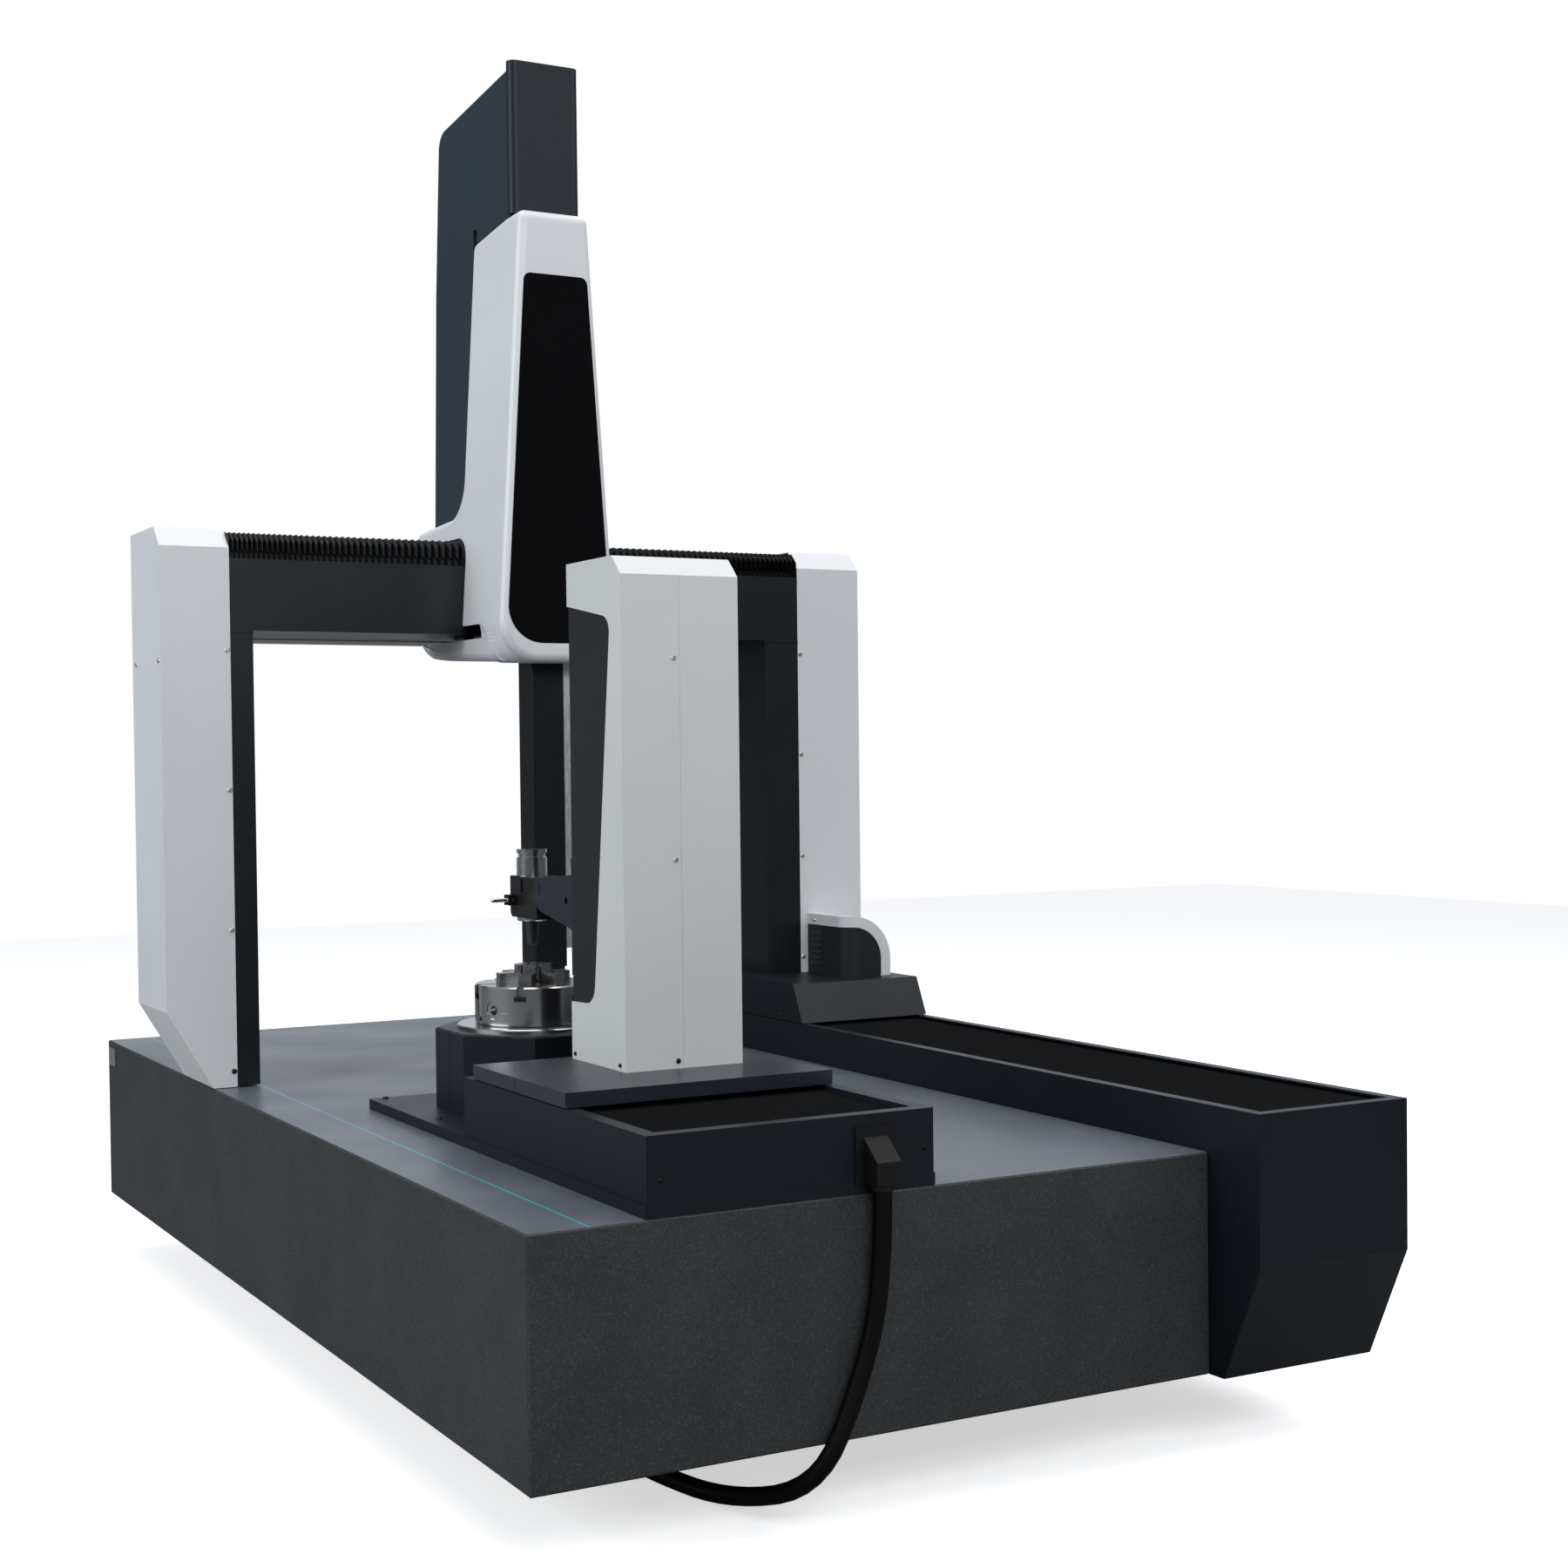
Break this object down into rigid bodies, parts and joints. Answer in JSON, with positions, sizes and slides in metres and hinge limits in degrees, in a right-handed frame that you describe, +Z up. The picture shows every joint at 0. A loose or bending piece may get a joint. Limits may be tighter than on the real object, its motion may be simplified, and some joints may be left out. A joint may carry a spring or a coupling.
{
  "type": "coordinate measuring machine",
  "caption": "Moving-bridge measuring machine on a stone base, with a tower carriage, a rotary table with a jaw chuck and a counter column that carries a centre.",
  "frame": {"origin": "on the floor, under the middle of the machine's outline box", "axes": "+X along the beam to the covered long guide, +Y back along the stone, +Z up"},
  "size_m": [2.0156, 3.3, 3.21],
  "materials": {
    "stone": "honed, fine grain",
    "foot_casting": "painted",
    "trough_paint": "satin",
    "guide": "ground",
    "bellows": "coated cloth",
    "white_sheet": "satin",
    "dark_sheet": "satin",
    "gloss_panel": "high gloss",
    "bridge_structure": "dark, fine ground",
    "cast_frame": "dark anodised",
    "bearing": "lapped",
    "black_casting": "moulded",
    "tray_sheet": "satin",
    "screw_steel": "bright",
    "roller": "ground",
    "ram_stone": "dark, fine ground",
    "drive_strip": "ground",
    "probe": "anodised",
    "tail_paint": "painted dark",
    "table_paint": "painted dark",
    "arm_paint": "painted dark",
    "bright_steel": "turned",
    "chuck_steel": "ground",
    "jaw_steel": "hardened",
    "conduit": "black, matt"
  },
  "bodies": {
    "base": {"granite_base": "stone", "side_plate": "screw_steel", "damping_feet": "foot_casting", "y_trough_tray": "trough_paint", "y_trough_housing": "trough_paint", "y_guide_beam": "guide", "y_bellows_front": "bellows", "y_bellows_rear": "bellows", "tail_base_plate": "tail_paint", "tail_bed_box": "tail_paint", "tail_bellows": "bellows", "rotary_table_housing": "table_paint", "base_screws": "screw_steel", "gland_hood": "black_casting", "tail_conduit": "conduit", "conduit_coil": "conduit", "conduit_connector": "conduit"},
    "bridge": {"y_carriage_block": "cast_frame", "bridge_air_bearings": "bearing", "y_carriage_cover": "dark_sheet", "motor_cover_band": "white_sheet", "motor_cover_panel": "dark_sheet", "right_leg": "bridge_structure", "left_leg": "bridge_structure", "beam": "bridge_structure", "left_pylon_cover": "white_sheet", "right_pylon_cover": "white_sheet", "rear_cable_tray": "tray_sheet", "bridge_screws": "screw_steel", "beam_bellows_left": "bellows", "beam_bellows_right": "bellows"},
    "bridge_drive": {"y_drive_roller": "roller"},
    "carriage": {"carriage_frame": "cast_frame", "carriage_air_bearings": "bearing", "carriage_cover": "white_sheet", "carriage_front_panel": "gloss_panel", "tower_side_cover": "dark_sheet", "tower_front_cover": "dark_sheet"},
    "ram_drive": {"z_drive_roller": "roller"},
    "ram": {"z_ram": "ram_stone", "ram_drive_strip": "drive_strip", "probe_head_base": "probe"},
    "head_fork": {"probe_head_yoke": "probe"},
    "probe": {"probe_stylus": "probe"},
    "tail_slide": {"tail_slide_plate": "tail_paint", "tail_column_frame": "cast_frame", "tail_column_cover": "white_sheet", "tail_screws": "screw_steel"},
    "arm": {"tail_arm": "arm_paint", "tail_sleeve": "bright_steel"},
    "centre": {"tail_quill": "bright_steel"},
    "lever": {"tail_clamp_lever": "bright_steel"},
    "chuck": {"chuck_faceplate": "chuck_steel", "chuck_body": "chuck_steel"},
    "jaw_1": {"chuck_jaw_1": "jaw_steel"},
    "jaw_2": {"chuck_jaw_2": "jaw_steel"},
    "jaw_3": {"chuck_jaw_3": "jaw_steel"},
    "jaw_4": {"chuck_jaw_4": "jaw_steel"},
    "jaw_5": {"chuck_jaw_5": "jaw_steel"},
    "jaw_6": {"chuck_jaw_6": "jaw_steel"}
  },
  "joints": [
    {"name": "bridge_y", "type": "slide", "parent": "base", "child": "bridge", "axis": [0, 1, 0], "range_m": [-0.8, 0.4], "deforming": ["y_bellows_front", "y_bellows_rear"]},
    {"name": "bridge_drive_turn", "type": "hinge", "parent": "bridge", "child": "bridge_drive", "pos_m": [0.65045, 0.459, 0.635], "axis": [0, 0, 1], "continuous": true},
    {"name": "carriage_x", "type": "slide", "parent": "bridge", "child": "carriage", "axis": [1, 0, 0], "range_m": [-0.545, 0.575], "deforming": ["beam_bellows_left", "beam_bellows_right"]},
    {"name": "ram_z", "type": "slide", "parent": "carriage", "child": "ram", "axis": [0, 0, 1], "range_m": [-0.07, 0.84]},
    {"name": "ram_drive_turn", "type": "hinge", "parent": "carriage", "child": "ram_drive", "pos_m": [0.03305, 0.312, 2.115], "axis": [0, 1, 0], "continuous": true},
    {"name": "head_turn", "type": "hinge", "parent": "ram", "child": "head_fork", "pos_m": [-0.05225, 0.335, 0.798], "axis": [0, 0, 1], "range_deg": [-180, 180]},
    {"name": "probe_tilt", "type": "hinge", "parent": "head_fork", "child": "probe", "pos_m": [-0.05225, 0.335, 0.798], "axis": [1, 0, 0], "range_deg": [-90, 90]},
    {"name": "table_turn", "type": "hinge", "parent": "base", "child": "chuck", "pos_m": [-0.35675, -0.3, 0.819], "axis": [0, 0, 1], "continuous": true},
    {"name": "tail_slide_y", "type": "slide", "parent": "base", "child": "tail_slide", "axis": [0, 1, 0], "range_m": [-0.3, 0.06], "deforming": ["tail_bellows"]},
    {"name": "arm_z", "type": "slide", "parent": "tail_slide", "child": "arm", "axis": [0, 0, 1], "range_m": [-0.02, 0.45]},
    {"name": "centre_lift", "type": "slide", "parent": "arm", "child": "centre", "axis": [0, 0, 1], "range_m": [0, 0.015]},
    {"name": "lever_tilt", "type": "hinge", "parent": "arm", "child": "lever", "pos_m": [-0.40525, -0.2855, 1.107], "axis": [0, 1, 0], "range_deg": [-30, 5]},
    {"name": "jaw_1_radial", "type": "slide", "parent": "chuck", "child": "jaw_1", "axis": [0.9945, -0.1045, 0], "range_m": [-0.005, 0.034]},
    {"name": "jaw_2_radial", "type": "slide", "parent": "chuck", "child": "jaw_2", "axis": [0.5878, 0.809, 0], "range_m": [-0.005, 0.034]},
    {"name": "jaw_3_radial", "type": "slide", "parent": "chuck", "child": "jaw_3", "axis": [-0.4067, 0.9135, 0], "range_m": [-0.005, 0.034]},
    {"name": "jaw_4_radial", "type": "slide", "parent": "chuck", "child": "jaw_4", "axis": [-0.9945, 0.1045, 0], "range_m": [-0.005, 0.034]},
    {"name": "jaw_5_radial", "type": "slide", "parent": "chuck", "child": "jaw_5", "axis": [-0.5878, -0.809, 0], "range_m": [-0.005, 0.034]},
    {"name": "jaw_6_radial", "type": "slide", "parent": "chuck", "child": "jaw_6", "axis": [0.4067, -0.9135, 0], "range_m": [-0.005, 0.034]}
  ],
  "couplings": [
    {"joint": "bridge_drive_turn", "follows": "bridge_y", "rad_per_m": -50},
    {"joint": "ram_drive_turn", "follows": "ram_z", "rad_per_m": 50},
    {"joint": "lever_tilt", "follows": "centre_lift", "rad_per_m": -33},
    {"joint": "jaw_2_radial", "follows": "jaw_1_radial", "ratio": 1},
    {"joint": "jaw_3_radial", "follows": "jaw_1_radial", "ratio": 1},
    {"joint": "jaw_4_radial", "follows": "jaw_1_radial", "ratio": 1},
    {"joint": "jaw_5_radial", "follows": "jaw_1_radial", "ratio": 1},
    {"joint": "jaw_6_radial", "follows": "jaw_1_radial", "ratio": 1}
  ]
}
